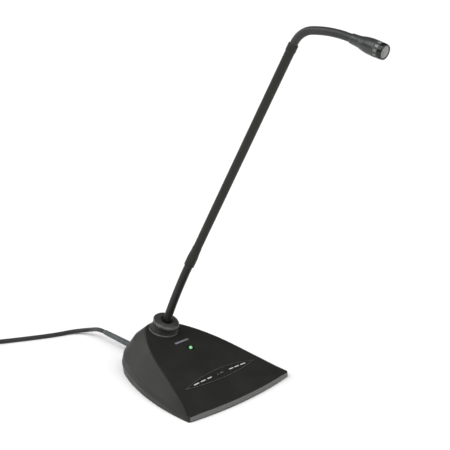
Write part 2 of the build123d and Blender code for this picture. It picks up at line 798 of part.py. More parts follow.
# The spare cord is a bundle of fourteen turns: two layers of four, then two of three.
lower_inner = 18.55
lower_outer = 39.65
upper_inner = 21.2
upper_outer = 37.0
layer_pitch = 5.25
lower_top = coil_lift + 2 * layer_pitch
upper_top = coil_lift + 4 * layer_pitch
coil_base = Plane((coil_x, coil_y, 0))
with BuildPart() as cord_coil:
    lathe(coil_base, [
        (lower_inner, coil_lift), (lower_outer, coil_lift), (lower_outer, lower_top),
        (upper_outer, lower_top), (upper_outer, upper_top), (upper_inner, upper_top),
        (upper_inner, lower_top), (lower_inner, lower_top),
    ])
cord_coil.part.label = "cord_coil"
export_step(cord_coil.part, "parts/cord_coil.step")

tie_angles = (100.0, 280.0)
tie_width = 4.0
tie_ease = 0.12  # a flat band across the curved inner wall
with BuildPart() as cable_tie:
    for angle in tie_angles:
        across = Vector(cos(radians(angle)), sin(radians(angle)), 0)
        section_plane = Plane(origin=(coil_x, coil_y, 0), x_dir=across, z_dir=across.cross(Vector(0, 0, 1)))
        with BuildSketch(section_plane):
            with BuildLine():
                Polyline(
                    (lower_inner - 1.1, 0), (lower_outer + 1, 0), (lower_outer + 1, lower_top + 0.3),
                    (upper_outer + 1, upper_top + 1), (upper_inner - 1.1, upper_top + 1),
                    (lower_inner - 1.1, lower_top + 0.3), close=True,
                )
            make_face()
            with BuildLine():
                Polyline(
                    (lower_inner - tie_ease, coil_lift), (lower_outer, coil_lift), (lower_outer, lower_top),
                    (upper_outer, upper_top), (upper_inner - tie_ease, upper_top),
                    (lower_inner - tie_ease, lower_top), close=True,
                )
            make_face(mode=Mode.SUBTRACT)
        extrude(amount=tie_width / 2, both=True)
cable_tie.part.label = "cable_tie"
export_step(cable_tie.part, "parts/cable_tie.step")

# The free end leaves the top layer of the coil at its back left and runs down to the plug.
tail_angle = 170.0
tail_turn_radius = 34.4
tail_heading = Vector(-sin(radians(tail_angle)), cos(radians(tail_angle)), 0)
tail_point = Vector(
    coil_x + tail_turn_radius * cos(radians(tail_angle)),
    coil_y + tail_turn_radius * sin(radians(tail_angle)),
    0,
)
tail_runs = [(13.9, 19.3), (25.0, 18.3), (38.0, 12.6), (50.0, 9.9), (59.0, plug_radius)]
tail_route = [tail_point + tail_heading * run + Vector(0, 0, height) for run, height in tail_runs]
tail_route = [(point.X, point.Y, point.Z) for point in tail_route]
with BuildPart() as cord_tail:
    add(cord_tube(tail_route))
cord_tail.part.label = "cord_tail"
export_step(cord_tail.part, "parts/cord_tail.step")

# ================================================================ cable plug
plug = Plane(
    origin=tail_point + tail_heading * (tail_runs[-1][0] + boot_length) + Vector(0, 0, plug_radius),
    x_dir=(0, 0, 1),
    z_dir=tail_heading,
)
shell_bore = 8.2
insert_low = 37.0
insert_high = 42.0
pin_radius = 1.2
with BuildPart() as plug_shell:
    lathe(plug, [
        (6.3, 0), (8.2, 0), (9.2, 1.6), (plug_radius, 3.5), (plug_radius, 21.0), (9.1, 21.6), (9.1, 29.4),
        (plug_radius, 30.0), (plug_radius, plug_length - 0.5), (9.0, plug_length), (shell_bore, plug_length),
        (shell_bore, 4.0), (6.3, 4.0),
    ])
plug_shell.part.label = "plug_shell"
export_step(plug_shell.part, "parts/plug_shell.step")

with BuildPart() as plug_boot:
    lathe(plug, [
        (0, -boot_length), (3.5, -boot_length), (4.2, -20.0), (5.2, -8.0), (5.6, -1.0), (6.2, 0), (6.2, 4.1),
        (7.9, 4.1), (7.9, 9.0), (0, 9.0),
    ])
plug_boot.part.label = "plug_boot"
export_step(plug_boot.part, "parts/plug_boot.step")

with BuildPart() as plug_insert:
    lathe(plug, [(0, insert_low), (8.15, insert_low), (8.15, insert_high), (0, insert_high)])
    with BuildSketch(plug.offset(insert_low)):
        with PolarLocations(3.9, 3, start_angle=180, angular_range=360):
            Circle(pin_radius + 0.05)
    extrude(amount=insert_high - insert_low, mode=Mode.SUBTRACT)
plug_insert.part.label = "plug_insert"
export_step(plug_insert.part, "parts/plug_insert.step")

with BuildPart() as plug_pins:
    with BuildSketch(plug.offset(insert_low - 3)):
        with PolarLocations(3.9, 3, start_angle=180, angular_range=360):
            Circle(pin_radius)
    extrude(amount=plug_length - insert_low)
plug_pins.part.label = "plug_pins"
export_step(plug_pins.part, "parts/plug_pins.step")
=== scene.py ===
import json
import math
import bpy
import bmesh
from mathutils import Matrix, Vector


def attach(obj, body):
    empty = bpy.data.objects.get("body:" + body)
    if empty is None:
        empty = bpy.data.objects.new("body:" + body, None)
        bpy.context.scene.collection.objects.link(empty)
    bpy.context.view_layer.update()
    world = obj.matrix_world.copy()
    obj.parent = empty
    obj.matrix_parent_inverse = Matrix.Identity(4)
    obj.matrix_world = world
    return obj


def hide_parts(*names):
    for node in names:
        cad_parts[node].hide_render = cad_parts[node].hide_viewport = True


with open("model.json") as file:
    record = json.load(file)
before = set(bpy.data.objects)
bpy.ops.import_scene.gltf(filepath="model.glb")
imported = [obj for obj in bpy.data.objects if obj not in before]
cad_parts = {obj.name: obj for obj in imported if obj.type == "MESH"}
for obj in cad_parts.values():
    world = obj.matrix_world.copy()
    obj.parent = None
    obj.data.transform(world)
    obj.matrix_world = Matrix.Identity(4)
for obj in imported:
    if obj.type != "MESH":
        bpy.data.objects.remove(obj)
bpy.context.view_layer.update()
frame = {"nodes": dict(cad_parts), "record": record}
nodes = frame["nodes"]
MM = 0.001

# ------------------------------------------------------------------ camera and light
CAMERA_AZIMUTH = -47.33
CAMERA_ELEVATION = 14.92
CAMERA_DISTANCE = 982.83 * MM
CAMERA_TARGET = Vector((0.0, -51.0, 182.64)) * MM
SENSOR = 36.0  # millimetres, as is the lens
LENS = 78.1384


def sight(azimuth, elevation):
    """Unit vectors towards the camera, to its right and up."""
    turn, lift = math.radians(azimuth), math.radians(elevation)
    back = Vector((math.sin(turn) * math.cos(lift), -math.cos(turn) * math.cos(lift), math.sin(lift)))
    right = Vector((math.cos(turn), math.sin(turn), 0.0))
    return back, right, back.cross(right)


def facing_away(place, back, right, up):
    """Matrix of a camera or a lamp that stands at a place and has that direction behind it."""
    return Matrix.Translation(place) @ Matrix((right, up, back)).transposed().to_4x4()


camera_data = bpy.data.cameras.new("camera")
camera_data.lens = LENS
camera_data.sensor_width = SENSOR
camera_data.clip_start = 0.01
camera = bpy.data.objects.new("camera", camera_data)
bpy.context.scene.collection.objects.link(camera)
back, right, up = sight(CAMERA_AZIMUTH, CAMERA_ELEVATION)
camera.matrix_world = facing_away(CAMERA_TARGET + back * CAMERA_DISTANCE, back, right, up)
bpy.context.scene.camera = camera


SUN_DISTANCE = 2.0


def sun(name, azimuth, elevation, strength, width):
    """Wide soft light from one side, all but the strength in degrees."""
    data = bpy.data.lights.new(name, "SUN")
    data.energy = strength
    data.angle = math.radians(width)
    light = bpy.data.objects.new(name, data)
    towards, sideways, above = sight(azimuth, elevation)
    light.matrix_world = facing_away(towards * SUN_DISTANCE, towards, sideways, above)
    bpy.context.scene.collection.objects.link(light)


sun("key", -100, 48, 1.9, 55)
sun("front", -25, 55, 1.45, 70)
sun("behind", -165, 26, 0.8, 40)
sun("low", 20, 12, 1.1, 100)

ROOM_LIGHT = 0.09  # how strongly the white room lights the object
BACKDROP = 1.0  # and how bright the camera sees it
world = bpy.data.worlds.new("studio")
world.use_nodes = True
world_nodes = world.node_tree.nodes
light_path = world_nodes.new("ShaderNodeLightPath")
brightness = world_nodes.new("ShaderNodeMapRange")
brightness.inputs["To Min"].default_value = ROOM_LIGHT
brightness.inputs["To Max"].default_value = BACKDROP
world.node_tree.links.new(light_path.outputs["Is Camera Ray"], brightness.inputs["Value"])
world.node_tree.links.new(brightness.outputs["Result"], world_nodes["Background"].inputs["Strength"])
world_nodes["Background"].inputs["Color"].default_value = (1.0, 1.0, 1.0, 1.0)
bpy.context.scene.world = world
bpy.context.scene.view_settings.view_transform = "Standard"


# ------------------------------------------------------------------ materials
MIX_FIRST, MIX_SECOND, MIX_RESULT = 6, 7, 2  # the colour sockets of Blender's Mix node
BEVEL_SAMPLES = 6


class Surface:
    """A procedural material: two tones, a fine grain, lighter edges (worn, and on some materials a painted
    highlight) and an uneven gloss.
    """

    def __init__(self, name, tone, rough, metallic=0.0, coat=0.0, specular=0.35):
        self.material = bpy.data.materials.new(name)
        self.material.use_nodes = True
        self.tree = self.material.node_tree
        self.shader = self.tree.nodes["Principled BSDF"]
        self.shader.inputs["Metallic"].default_value = metallic
        self.shader.inputs["Coat Weight"].default_value = coat
        self.shader.inputs["Coat Roughness"].default_value = 0.15
        self.shader.inputs["Roughness"].default_value = rough
        self.shader.inputs["Specular IOR Level"].default_value = 0.5 if metallic else specular
        self.place = self.node("ShaderNodeTexCoord").outputs["Object"]
        self.rough = rough
        self.tone = self.rgb(tone)
        self.height = None
        self.edge_normal = None

    def node(self, kind, **settings):
        made = self.tree.nodes.new(kind)
        for key, value in settings.items():
            setattr(made, key, value)
        return made

    def link(self, output, socket):
        self.tree.links.new(output, socket)

    def rgb(self, colour):
        made = self.node("ShaderNodeRGB")
        made.outputs[0].default_value = (*colour, 1.0)
        return made.outputs[0]

    def noise(self, scale, detail=3.0, stretch=None):
        made = self.node("ShaderNodeTexNoise")
        made.inputs["Scale"].default_value = scale
        made.inputs["Detail"].default_value = detail
        source = self.place
        if stretch:
            mapping = self.node("ShaderNodeMapping")
            mapping.inputs["Scale"].default_value = stretch
            self.link(source, mapping.inputs["Vector"])
            source = mapping.outputs["Vector"]
        self.link(source, made.inputs["Vector"])
        return made.outputs["Fac"]

    def ramp(self, factor, low, high, from_value=0.0, to_value=1.0):
        made = self.node("ShaderNodeMapRange")
        limits = {"From Min": low, "From Max": high, "To Min": from_value, "To Max": to_value}
        for socket, value in limits.items():
            made.inputs[socket].default_value = value
        self.link(factor, made.inputs["Value"])
        return made.outputs["Result"]

    def mix(self, factor, colour):
        """Blend another colour over the tone where factor is 1."""
        made = self.node("ShaderNodeMix", data_type="RGBA")
        self.link(factor, made.inputs["Factor"])
        self.link(self.tone, made.inputs[MIX_FIRST])
        made.inputs[MIX_SECOND].default_value = (*colour, 1.0)
        self.tone = made.outputs[MIX_RESULT]
        return self

    def mottle(self, colour, scale, low=0.42, high=0.62, most=1.0):
        """Soft patches of a second tone."""
        return self.mix(self.ramp(self.noise(scale), low, high, 0.0, most), colour)

    def specks(self, colour, scale, cut, most):
        """Fine dust or fibres: small spots where the noise is highest."""
        return self.mix(self.ramp(self.noise(scale, 1.0), cut, cut + 0.05, 0.0, most), colour)

    def add_height(self, factor, amount):
        """Raise the bump by that many metres where factor is 1."""
        made = self.node("ShaderNodeMath", operation="MULTIPLY")
        made.inputs[1].default_value = amount
        self.link(factor, made.inputs[0])
        if self.height is None:
            self.height = made.outputs[0]
        else:
            total = self.node("ShaderNodeMath", operation="ADD")
            self.link(self.height, total.inputs[0])
            self.link(made.outputs[0], total.inputs[1])
            self.height = total.outputs[0]
        return self

    def grain(self, scale, depth, stretch=None, detail=2.0):
        """Bump of that depth in metres from a fine noise."""
        return self.add_height(self.noise(scale, detail, stretch), depth)

    def waves(self, scale, depth, direction):
        """Straight ridges of that depth in metres, one after another along an axis."""
        made = self.node("ShaderNodeTexWave", bands_direction=direction)
        made.inputs["Scale"].default_value = scale
        self.link(self.place, made.inputs["Vector"])
        return self.add_height(made.outputs["Fac"], depth)

    def soften(self, radius):
        """Round the edges' shading over that radius."""
        made = self.node("ShaderNodeBevel", samples=BEVEL_SAMPLES)
        made.inputs["Radius"].default_value = radius
        self.edge_normal = made.outputs["Normal"]
        return self

    def edge_wear_and_highlight(self, colour, radius, most, patchy=True):
        """Edges lighter, as if handled smooth, here and there or all along; on the housing and the mute bar
        the lighter edges are also a painted highlight.
        """
        bevel = self.node("ShaderNodeBevel", samples=BEVEL_SAMPLES)
        bevel.inputs["Radius"].default_value = radius
        geometry = self.node("ShaderNodeNewGeometry")
        dot = self.node("ShaderNodeVectorMath", operation="DOT_PRODUCT")
        self.link(bevel.outputs["Normal"], dot.inputs[0])
        self.link(geometry.outputs["Normal"], dot.inputs[1])
        edge = self.ramp(dot.outputs["Value"], 0.995, 0.90, 0.0, most)
        if not patchy:
            return self.mix(edge, colour)
        both = self.node("ShaderNodeMath", operation="MULTIPLY")
        self.link(edge, both.inputs[0])
        self.link(self.ramp(self.noise(160.0, 4.0), 0.40, 0.62), both.inputs[1])
        return self.mix(both.outputs[0], colour)

    def uneven_gloss(self, scale, spread):
        """Roughness that wanders by that much each way."""
        result = self.ramp(self.noise(scale, 4.0), 0.3, 0.7, self.rough - spread, self.rough + spread)
        self.link(result, self.shader.inputs["Roughness"])
        return self

    def done(self):
        """Join tone and bump to the shader."""
        self.link(self.tone, self.shader.inputs["Base Color"])
        normal = self.edge_normal
        if self.height is not None:
            bump = self.node("ShaderNodeBump")
            bump.inputs["Distance"].default_value = 1.0
            bump.inputs["Strength"].default_value = 1.0
            self.link(self.height, bump.inputs["Height"])
            if normal is not None:
                self.link(normal, bump.inputs["Normal"])
            normal = bump.outputs["Normal"]
        if normal is not None:
            self.link(normal, self.shader.inputs["Normal"])
        return self.material


LIP_TOP = 0.0155  # height of the housing's upright front lip, metres
LIP_FADE = 0.001
FORWARD = 0.85  # how squarely a face has to look ahead to count as the lip
FORWARD_FADE = 0.08


def front_lip_highlight(surface):
    """1 on the upright band along the housing's front, where the housing gets a painted highlight; 0
    elsewhere.
    """
    facing = surface.node("ShaderNodeSeparateXYZ")
    surface.link(surface.node("ShaderNodeTexCoord").outputs["Normal"], facing.inputs["Vector"])
    place = surface.node("ShaderNodeSeparateXYZ")
    surface.link(surface.place, place.inputs["Vector"])
    ahead = surface.ramp(facing.outputs["Y"], -FORWARD, -FORWARD - FORWARD_FADE)
    low = surface.ramp(place.outputs["Z"], LIP_TOP, LIP_TOP - LIP_FADE)
    both = surface.node("ShaderNodeMath", operation="MULTIPLY")
    surface.link(ahead, both.inputs[0])
    surface.link(low, both.inputs[1])
    return both.outputs[0]


def housing_plastic():
    surface = Surface("housing_plastic", (0.0125, 0.0130, 0.0105), 0.50, specular=0.3)
    surface.mottle((0.0160, 0.0165, 0.0135), 28.0)
    # Painted highlight: the upright front lip is painted lighter, as the reflection of light in front of
    # it.
    surface.mix(front_lip_highlight(surface), (0.115, 0.117, 0.112))
    surface.specks((0.05, 0.05, 0.046), 1500.0, 0.72, 0.35)
    # Lighter edges, here and there: partly worn edges, partly a painted highlight along the ridges and
    # round the bar's pocket.
    surface.edge_wear_and_highlight((0.06, 0.06, 0.056), 0.0009, 0.45)
    surface.grain(1600.0, 0.00003).grain(420.0, 0.00002)
    return surface.soften(0.0016).uneven_gloss(45.0, 0.05).done()


def dark_plastic(name, tone, rough, lift=1.5, grain_depth=0.00002, specular=0.35):
    surface = Surface(name, tone, rough, specular=specular)
    surface.mottle([part * lift for part in tone], 60.0, most=0.6)
    surface.edge_wear_and_highlight([part * 2.6 + 0.01 for part in tone], 0.0005, 0.5)
    surface.grain(2200.0, grain_depth)
    return surface.soften(0.0004).uneven_gloss(90.0, 0.05).done()


def bar_plastic():
    """Smooth plastic of the mute bar, its rim painted lighter all along as a painted highlight."""
    surface = Surface("bar_plastic", (0.013, 0.013, 0.011), 0.34)
    surface.mottle((0.018, 0.018, 0.016), 60.0, most=0.6)
    # Painted highlight: a light rim all round the bar, where its edge catches the light.
    surface.edge_wear_and_highlight((0.12, 0.12, 0.115), 0.0011, 1.0, patchy=False)
    surface.grain(2200.0, 0.000012)
    return surface.soften(0.0004).uneven_gloss(90.0, 0.05).done()


def stem_paint():
    surface = Surface("stem_paint", (0.0220, 0.0232, 0.0192), 0.52, specular=0.20)
    surface.mottle((0.024, 0.0245, 0.021), 55.0, most=0.7)
    surface.specks((0.10, 0.10, 0.09), 2600.0, 0.74, 0.35)
    surface.edge_wear_and_highlight((0.13, 0.13, 0.12), 0.0005, 0.55)
    surface.grain(2600.0, 0.000022).grain(700.0, 0.00001)
    return surface.soften(0.0004).uneven_gloss(80.0, 0.06).done()


def wound_paint(name, tone):
    """Matt paint on the wound sleeves, with no worn edges."""
    surface = Surface(name, tone, 0.40)
    surface.mottle([part * 1.4 for part in tone], 65.0, most=0.7)
    surface.specks((0.09, 0.09, 0.085), 2600.0, 0.74, 0.3)
    surface.grain(2600.0, 0.000016)
    return surface.uneven_gloss(80.0, 0.06).done()


def head_paint():
    """Satin grey of the head and its neck."""
    surface = Surface("head_paint", (0.028, 0.0305, 0.031), 0.30, specular=0.5)
    surface.mottle((0.036, 0.039, 0.040), 70.0, most=0.7)
    surface.specks((0.12, 0.12, 0.12), 2600.0, 0.74, 0.35)
    surface.edge_wear_and_highlight((0.16, 0.165, 0.165), 0.0005, 0.55)
    surface.grain(2600.0, 0.000018)
    return surface.soften(0.0004).uneven_gloss(80.0, 0.05).done()


def soft_rubber(name, tone, rough, grain_depth=0.00003):
    surface = Surface(name, tone, rough)
    surface.shader.inputs["Sheen Weight"].default_value = 0.12
    surface.shader.inputs["Sheen Roughness"].default_value = 0.5
    surface.mottle([part * 1.35 + 0.004 for part in tone], 70.0, most=0.8)
    surface.specks([part * 2.0 + 0.05 for part in tone], 1700.0, 0.73, 0.3)
    surface.grain(1500.0, grain_depth)
    return surface.soften(0.0005).uneven_gloss(120.0, 0.06).done()


def metal(name, tone, rough, worn=None):
    surface = Surface(name, tone, rough, metallic=1.0)
    surface.mottle([part * 0.78 for part in tone], 90.0, most=0.7)
    if worn:
        surface.edge_wear_and_highlight(worn, 0.0004, 0.6)
    surface.grain(900.0, 0.000012, detail=4.0)
    return surface.soften(0.0003).uneven_gloss(140.0, 0.08).done()


def cast_metal():
    surface = Surface("ballast_iron", (0.055, 0.055, 0.058), 0.62, metallic=0.35)
    surface.mottle((0.09, 0.055, 0.035), 40.0, 0.55, 0.75, 0.6)
    surface.grain(500.0, 0.00018).grain(130.0, 0.0002)
    return surface.soften(0.001).done()


def circuit_board():
    surface = Surface("board", (0.010, 0.075, 0.028), 0.34, coat=0.3)
    brick = surface.node("ShaderNodeTexBrick")
    brick.inputs["Scale"].default_value = 160.0
    brick.inputs["Mortar Size"].default_value = 0.03
    surface.link(surface.place, brick.inputs["Vector"])
    surface.mix(surface.ramp(brick.outputs["Fac"], 0.4, 0.6, 0.0, 0.7), (0.05, 0.19, 0.08))
    surface.specks((0.75, 0.72, 0.62), 420.0, 0.70, 0.9)
    surface.grain(700.0, 0.00002)
    return surface.done()


def lamp_lens():
    surface = Surface("lamp_green", (0.20, 0.55, 0.27), 0.22, coat=0.4)
    surface.mottle((0.36, 0.72, 0.42), 420.0, most=0.7)
    surface.grain(900.0, 0.00002)
    surface.shader.inputs["Transmission Weight"].default_value = 0.15
    surface.shader.inputs["Emission Color"].default_value = (0.20, 0.62, 0.27, 1.0)
    surface.shader.inputs["Emission Strength"].default_value = 0.35
    return surface.done()


DIM_MARK_MIDDLE = -0.0015  # x of the middle of the marks that are dim, metres
DIM_MARK_REACH = 0.006


def mark_plastic():
    """Pale plastic of the raised dashes, dim in the middle of the bar."""
    surface = Surface("mark_white", (0.50, 0.50, 0.46), 0.35)
    surface.mottle((0.62, 0.62, 0.58), 500.0)
    split = surface.node("ShaderNodeSeparateXYZ")
    surface.link(surface.place, split.inputs["Vector"])
    nearness = surface.node("ShaderNodeMath", operation="COMPARE")
    nearness.inputs[1].default_value = DIM_MARK_MIDDLE
    nearness.inputs[2].default_value = DIM_MARK_REACH
    surface.link(split.outputs["X"], nearness.inputs[0])
    surface.mix(nearness.outputs[0], (0.10, 0.10, 0.095))
    surface.grain(2500.0, 0.00001)
    return surface.done()


def badge_metal():
    surface = Surface("badge_metal", (0.22, 0.22, 0.26), 0.36, metallic=0.35)
    surface.mottle((0.32, 0.32, 0.37), 220.0)
    surface.edge_wear_and_highlight((0.55, 0.55, 0.60), 0.0003, 0.6)
    surface.grain(900.0, 0.00001, (12.0, 1.0, 1.0), 4.0)
    return surface.soften(0.0002).uneven_gloss(140.0, 0.06).done()


def liner_cloth():
    surface = Surface("vent_liner", (0.05, 0.05, 0.046), 0.85)
    surface.shader.inputs["Sheen Weight"].default_value = 0.3
    surface.mottle((0.10, 0.10, 0.095), 700.0)
    surface.waves(1400.0, 0.00003, "X").waves(1400.0, 0.00003, "Z")
    return surface.done()


MATERIALS = {
    "housing_plastic": housing_plastic(),
    "plate_plastic": dark_plastic("plate_plastic", (0.018, 0.018, 0.018), 0.55, grain_depth=0.00005),
    "pad_rubber": soft_rubber("pad_rubber", (0.010, 0.010, 0.010), 0.75, 0.00008),
    "ballast_iron": cast_metal(),
    "board": circuit_board(),
    "component_black": dark_plastic("component_black", (0.014, 0.014, 0.014), 0.42),
    "screw_steel": metal("screw_steel", (0.50, 0.50, 0.51), 0.32, worn=(0.75, 0.75, 0.76)),
    "bar_plastic": bar_plastic(),
    "mark_white": mark_plastic(),
    "lamp_green": lamp_lens(),
    "bezel_black": dark_plastic("bezel_black", (0.006, 0.006, 0.006), 0.18, grain_depth=0.000006),
    "badge_metal": badge_metal(),
    "relief_rubber": soft_rubber("relief_rubber", (0.062, 0.076, 0.076), 0.40),
    "mount_rubber": soft_rubber("mount_rubber", (0.012, 0.012, 0.011), 0.60),
    "mount_plastic": dark_plastic("mount_plastic", (0.034, 0.035, 0.033), 0.24, 1.4, specular=0.6),
    "mount_steel": metal("mount_steel", (0.30, 0.30, 0.31), 0.35, worn=(0.6, 0.6, 0.6)),
    "flange_black": dark_plastic("flange_black", (0.010, 0.010, 0.009), 0.40),
    "mount_brass": metal("mount_brass", (0.60, 0.42, 0.17), 0.32, worn=(0.80, 0.62, 0.32)),
    "stem_paint": stem_paint(),
    "vent_mesh": liner_cloth(),
    "grille_mesh": dark_plastic("grille_felt", (0.16, 0.17, 0.16), 0.9, grain_depth=0.0001),
    "cord_rubber": soft_rubber("cord_rubber", (0.0085, 0.0095, 0.0080), 0.42),
    "tie_plastic": soft_rubber("tie_plastic", (0.014, 0.014, 0.014), 0.55, 0.0001),
    "plug_nickel": metal("plug_nickel", (0.52, 0.51, 0.48), 0.30, worn=(0.78, 0.76, 0.72)),
    "pin_gold": metal("pin_gold", (0.80, 0.58, 0.22), 0.24, worn=(0.92, 0.75, 0.40)),
}
wire_metal = metal("wire_metal", (0.60, 0.62, 0.59), 0.40)
node_slot = {part["node"]: part["material_slot"] for part in frame["record"]["subparts"]}


def paint(piece, slot_name, material=None):
    """Give a piece one material."""
    piece.data.materials.clear()
    piece.data.materials.append(material or MATERIALS[slot_name])


for node_name, node in nodes.items():
    paint(node, node_slot[node_name])
paint(nodes["mount_flange"], "flange_black")
# Painted light and shade: both goosenecks have the same paint; the lower is painted darker as shade and the
# level upper one painted lighter where it catches the key light.
lower_wound_shaded = wound_paint("lower_wound_shaded", (0.0085, 0.0090, 0.0070))
upper_wound_lit = wound_paint("upper_wound_lit", (0.0240, 0.0260, 0.0240))
satin_head = head_paint()
for node_name in ("neck_adapter", "head_body", "vent_band"):
    paint(nodes[node_name], "stem_paint", satin_head)
paint(nodes["head_bezel"], "bezel_black")


# ------------------------------------------------------------------ shared construction
def link_mesh(name, mesh, slot_name, body, material=None):
    """New piece from a bmesh, painted and riding on a body."""
    data = bpy.data.meshes.new(name)
    bmesh.ops.recalc_face_normals(mesh, faces=mesh.faces)
    mesh.to_mesh(data)
    mesh.free()
    piece = bpy.data.objects.new(name, data)
    bpy.context.scene.collection.objects.link(piece)
    for face in data.polygons:
        face.use_smooth = True
    paint(piece, slot_name, material)
    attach(piece, body)
    return piece


def rings_to_faces(mesh, rings, close_ends=True):
    """Skin a row of vertex rings."""
    count = len(rings[0])
    for low, high in zip(rings, rings[1:]):
        for index in range(count):
            after = (index + 1) % count
            mesh.faces.new((low[index], low[after], high[after], high[index]))
    if close_ends:
        mesh.faces.new(rings[0][::-1])
        mesh.faces.new(rings[-1])


def across(direction):
    """Two unit vectors square to a direction, the first as near level as can be."""
    first = Vector((1, 0, 0)) if abs(direction.x) < 0.9 else Vector((0, 1, 0))
    first = (first - direction * first.dot(direction)).normalized()
    return first, direction.cross(first)


def ring(mesh, centre, direction, radius, segments):
    """Vertices round a centre, in a plane square to a direction; the radius is in metres."""
    first, second = across(direction)
    vertices = []
    for step in range(segments):
        angle = 2 * math.pi * step / segments
        spoke = first * math.cos(angle) + second * math.sin(angle)
        vertices.append(mesh.verts.new(centre + spoke * radius))
    return vertices


TURNED_SIDES = 48


def turned(mesh, origin, direction, profile):
    """Surface of revolution from (radius, distance) pairs in millimetres."""
    rings = []
    for radius, distance in profile:
        middle = origin + direction * distance * MM
        rings.append(ring(mesh, middle, direction, radius * MM, TURNED_SIDES))
    rings_to_faces(mesh, rings)


WIRE_SIDES = 5


def wire(mesh, points, radius, closed=False):
    """Thin round wire through points in metres."""
    rings = []
    total = len(points)
    for index, point in enumerate(points):
        before = points[index - 1] if closed or index else point
        after = points[(index + 1) % total] if closed or index + 1 < total else point
        rings.append(ring(mesh, point, (after - before).normalized(), radius, WIRE_SIDES))
    if closed:
        rings_to_faces(mesh, [*rings, rings[0]], close_ends=False)
    else:
        rings_to_faces(mesh, rings)


# ------------------------------------------------------------------ stem centre line
MOUNT = (41.3, 46.7)  # y and z where the stem leaves the top face, millimetres
STEM_TILT = 24.0  # how far it leans forward there, degrees
TIGHT_START = 366.0
TIGHT_TURN = 57.0
TIGHT_RADIUS = 25.0
TIGHT_LENGTH = math.radians(TIGHT_TURN) * TIGHT_RADIUS
HEAD_START = 434.2
STRETCHES = [  # start and length along the stem in millimetres, turn in degrees
    (0.0, 20.0, 0.0),
    (20.0, 75.0, 5.8),
    (95.0, 271.0, 0.0),
    (TIGHT_START, TIGHT_LENGTH, TIGHT_TURN),
    (TIGHT_START + TIGHT_LENGTH, HEAD_START - TIGHT_START - TIGHT_LENGTH, 19.2),
    (HEAD_START, 60.0, 0.0),
]


def stem_at(distance):
    """Point on the stem's centre line and its direction there."""
    y, z = MOUNT
    tilt = STEM_TILT
    for start, length, turn in STRETCHES:
        part = min(max(distance - start, 0.0), length)
        turned_by = turn * part / length
        half = math.radians(turned_by / 2)
        chord = part * math.sin(half) / half if half else part
        middle = math.radians(tilt) + half
        y -= chord * math.sin(middle)
        z += chord * math.cos(middle)
        tilt += turned_by
    lean = math.radians(tilt)
    return Vector((0, y, z)) * MM, Vector((0, -math.sin(lean), math.cos(lean)))


# ------------------------------------------------------------------ cable
def route_point(x, y, z):
    return Vector((x, y, z)) * MM


CORD_RADIUS = 2.6
EXIT_HEIGHT = 12.1
REAR_Y = 86.0
RELIEF_LENGTH = 62.0
RELIEF_YAW = math.radians(5)
RELIEF_LIFT = math.radians(1.8)
STRAIGHT_OUT = 12  # the cable leaves the relief in line with it for so long
relief_axis = Vector((math.sin(RELIEF_YAW), math.cos(RELIEF_YAW), math.tan(RELIEF_LIFT))).normalized()
relief_start = route_point(0, REAR_Y, EXIT_HEIGHT)
relief_tip = relief_start + relief_axis * RELIEF_LENGTH * MM
relief_out = relief_start + relief_axis * (RELIEF_LENGTH + STRAIGHT_OUT) * MM
cord_points = [
    relief_tip,
    relief_out,
    route_point(11.5, 181.8, 6.6),
    route_point(-0.5, 200.8, 2.8),
    route_point(-21.0, 207.0, 2.6),
    route_point(-57.0, 225.0, 2.6),
    route_point(-92.2, 244.4, 2.9),
    route_point(-115.9, 261.0, 3.6),
]

COIL_CENTRE = (-149.0, 239.0)
TURN_SPACING = 5.3
LAYER_SPACING = 5.25
LOWEST_LAYER = 3.6
LAYERS = [(37.05, -1, 4), (21.15, 1, 4), (34.4, -1, 3), (23.8, 1, 3)]  # first radius, inwards or out, turns
COIL_TURNS = [  # radius and height of each turn
    (first_radius + way * index * TURN_SPACING, LOWEST_LAYER + layer * LAYER_SPACING)
    for layer, (first_radius, way, turns) in enumerate(LAYERS)
    for index in range(turns)
]
COIL_START = 55.0  # where the cord runs into the coil, degrees round it
COIL_END = 170.0
POINTS_PER_TURN = 20
CROSS_OVER = 0.16  # share of a turn in which the cord moves on to the next one
coil_steps = round((len(COIL_TURNS) - 1 + (COIL_END - COIL_START) / 360) * POINTS_PER_TURN)
# The curve runs inside its control points, so they stand this much further out.
polygon_growth = 2 / (1 + math.cos(math.pi / POINTS_PER_TURN))
for step in range(coil_steps + 1):
    travelled = step / POINTS_PER_TURN
    turn = min(int(travelled), len(COIL_TURNS) - 1)
    into = travelled - turn
    radius, height = COIL_TURNS[turn]
    if turn and into < CROSS_OVER:
        share = into / CROSS_OVER
        old_radius, old_height = COIL_TURNS[turn - 1]
        radius = old_radius + (radius - old_radius) * share
        height = old_height + (height - old_height) * share
    angle = math.radians(COIL_START + 360 * travelled)
    cord_points.append(route_point(
        COIL_CENTRE[0] + radius * polygon_growth * math.cos(angle),
        COIL_CENTRE[1] + radius * polygon_growth * math.sin(angle),
        height,
    ))

# How far the tail has run, and how high it is there.
TAIL_RUNS = [(13.9, 19.3), (25.0, 18.3), (38.0, 12.6), (50.0, 9.9), (59.0, 9.5), (78.0, 9.5)]
tail_angle = math.radians(COIL_END)
tail_heading = Vector((-math.sin(tail_angle), math.cos(tail_angle), 0))
tail_point = route_point(
    COIL_CENTRE[0] + COIL_TURNS[-1][0] * math.cos(tail_angle),
    COIL_CENTRE[1] + COIL_TURNS[-1][0] * math.sin(tail_angle),
    0,
)
for run, height in TAIL_RUNS:
    cord_points.append(tail_point + tail_heading * run * MM + route_point(0, 0, height))

